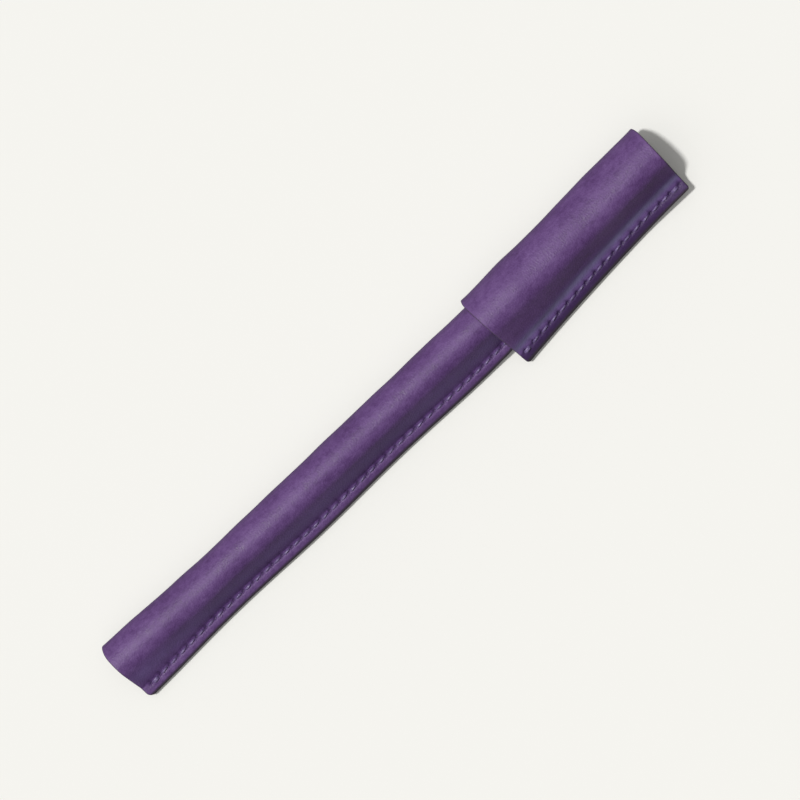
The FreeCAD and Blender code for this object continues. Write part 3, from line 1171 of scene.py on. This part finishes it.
@dataclass(frozen=True)
class Studio:
    """A pale table under a window on the left, seen from above by a long lens.

    Lengths are in millimetres and angles in degrees. The picture's left and up are directions on the table.
    """

    aim: Place = (3.9, 2.43, 0.0)
    lean: float = 3.4
    distance: float = 1102.0
    field_of_view: float = 9.55
    nearest: float = 10.0
    picture_up: Place = (0.6898, 0.7240, 0.0)
    picture_left: Place = (-0.7240, 0.6898, 0.0)
    sun_height: float = 67.8
    sun_strength: float = 2.5
    sun_size: float = 6.0
    sky_colour: Colour = (1.0, 1.0, 1.0)
    sky_strength: float = 0.31
    low_sky: float = 0.4
    high_sky: float = 1.2
    floor_half: float = 4000.0
    seen_floor: Colour = (0.879, 0.871, 0.831)
    dim_floor: Colour = (0.1, 0.1, 0.1)
    glow_share: float = 0.11
    mirrored_share: float = 0.35

    def camera(self) -> None:
        """Places the camera, rolled so that the sleeve lies across the picture's diagonal."""
        tilt = math.radians(self.lean)
        back = Vector((math.sin(tilt), 0.0, math.cos(tilt)))
        up = Vector(self.picture_up)
        up = (up - back * up.dot(back)).normalized()
        right = up.cross(back)
        lens = bpy.data.cameras.new("camera")
        lens.sensor_fit = "HORIZONTAL"
        lens.angle = math.radians(self.field_of_view)
        lens.clip_start = self.nearest * MM
        camera = scene_object("camera", lens)
        turn = Matrix((right, up, back)).transposed().to_4x4()
        camera.matrix_world = Matrix.Translation((Vector(self.aim) + back * self.distance) * MM) @ turn
        bpy.context.scene.camera = camera

    def sun(self) -> None:
        """The window as a soft sun from the picture's left."""
        height = math.radians(self.sun_height)
        towards = Vector(self.picture_left) * math.cos(height) + Vector((0.0, 0.0, math.sin(height)))
        lamp = bpy.data.lights.new("window", "SUN")
        lamp.energy = self.sun_strength
        lamp.angle = math.radians(self.sun_size)
        holder = scene_object("window", lamp)
        holder.rotation_mode = "QUATERNION"
        holder.rotation_quaternion = towards.to_track_quat("Z", "Y")

    def sky(self) -> None:
        """The room's light, brighter towards the window and overhead, and dim on the far side."""
        world = bpy.data.worlds.new("room")
        graph = Graph(world)
        place = graph.node("ShaderNodeTexCoord", {}, "Generated")
        sockets = {0: place, 1: self.picture_left}
        facing = graph.node("ShaderNodeVectorMath", sockets, "Value", operation="DOT_PRODUCT")
        upward = graph.node("ShaderNodeSeparateXYZ", {0: place}, "Z")
        level = (1.0 + facing) * self.sky_strength
        level = level * (self.low_sky + upward * upward * self.high_sky)
        background = graph.node("ShaderNodeBackground", {"Color": (*self.sky_colour, 1.0), "Strength": level})
        graph.node("ShaderNodeOutputWorld", {"Surface": background})
        bpy.context.scene.world = world

    def floor(self) -> None:
        """A wide table, pale to the camera and dimmer as a source of bounced light."""
        half = self.floor_half * MM
        mesh = bpy.data.meshes.new("table")
        corners = [(-half, -half, 0.0), (half, -half, 0.0), (half, half, 0.0), (-half, half, 0.0)]
        mesh.from_pydata(corners, [], [(0, 1, 2, 3)])
        material = bpy.data.materials.new("pale_table")
        graph = Graph(material)
        kinds = ("Is Camera Ray", "Is Glossy Ray", "Is Transmission Ray")
        direct, mirrored, through = (graph.node("ShaderNodeLightPath", {}, kind) for kind in kinds)
        seen = (direct + mirrored * self.mirrored_share + through).clamped()
        colour = graph.blend(seen, self.dim_floor, self.seen_floor)
        lit = graph.node("ShaderNodeBsdfDiffuse", {"Color": colour}, "BSDF")
        glow = graph.node("ShaderNodeEmission", {"Color": (*self.seen_floor, 1.0)})
        shader = graph.node("ShaderNodeMixShader", {0: seen * self.glow_share, 1: lit, 2: glow})
        graph.node("ShaderNodeOutputMaterial", {"Surface": shader})
        mesh.materials.append(material)
        table = scene_object("table", mesh)

    def build(self) -> None:
        """Sets the whole studio up, with colours shown as they are."""
        self.camera()
        self.sun()
        self.sky()
        self.floor()
        bpy.context.scene.view_settings.view_transform = "Standard"


# Where the solids' cap folds, in the sleeve's own coordinates, and how the sleeve leans on the cap.
CAD_CAP_FOLD_Y = 10.45
SLEEVE_TILT = math.radians(0.6477)


def main() -> None:
    """Builds the sleeve, the cap, their threads and the studio."""
    logging.basicConfig(level=logging.INFO, format="%(message)s")
    low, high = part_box("cap_leather")
    shift = (high[0] / MM - Cap.end_x, high[1] / MM - CAD_CAP_FOLD_Y, low[2] / MM)
    leather, thread, plug = (finish.material() for finish in (LEATHER, THREAD, PLUG))
    for strip in (Sleeve(lie=Lie(shift, SLEEVE_TILT)), Cap(lie=Lie(shift))):
        strip.build(leather)
        for leaf in Leaf:
            SeamThread(strip, leaf).build(thread)
    for node in ("body_end_plug", "cap_end_plug"):
        dress(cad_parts[node], plug)
    Studio().build()


if __name__ == "__main__":
    main()
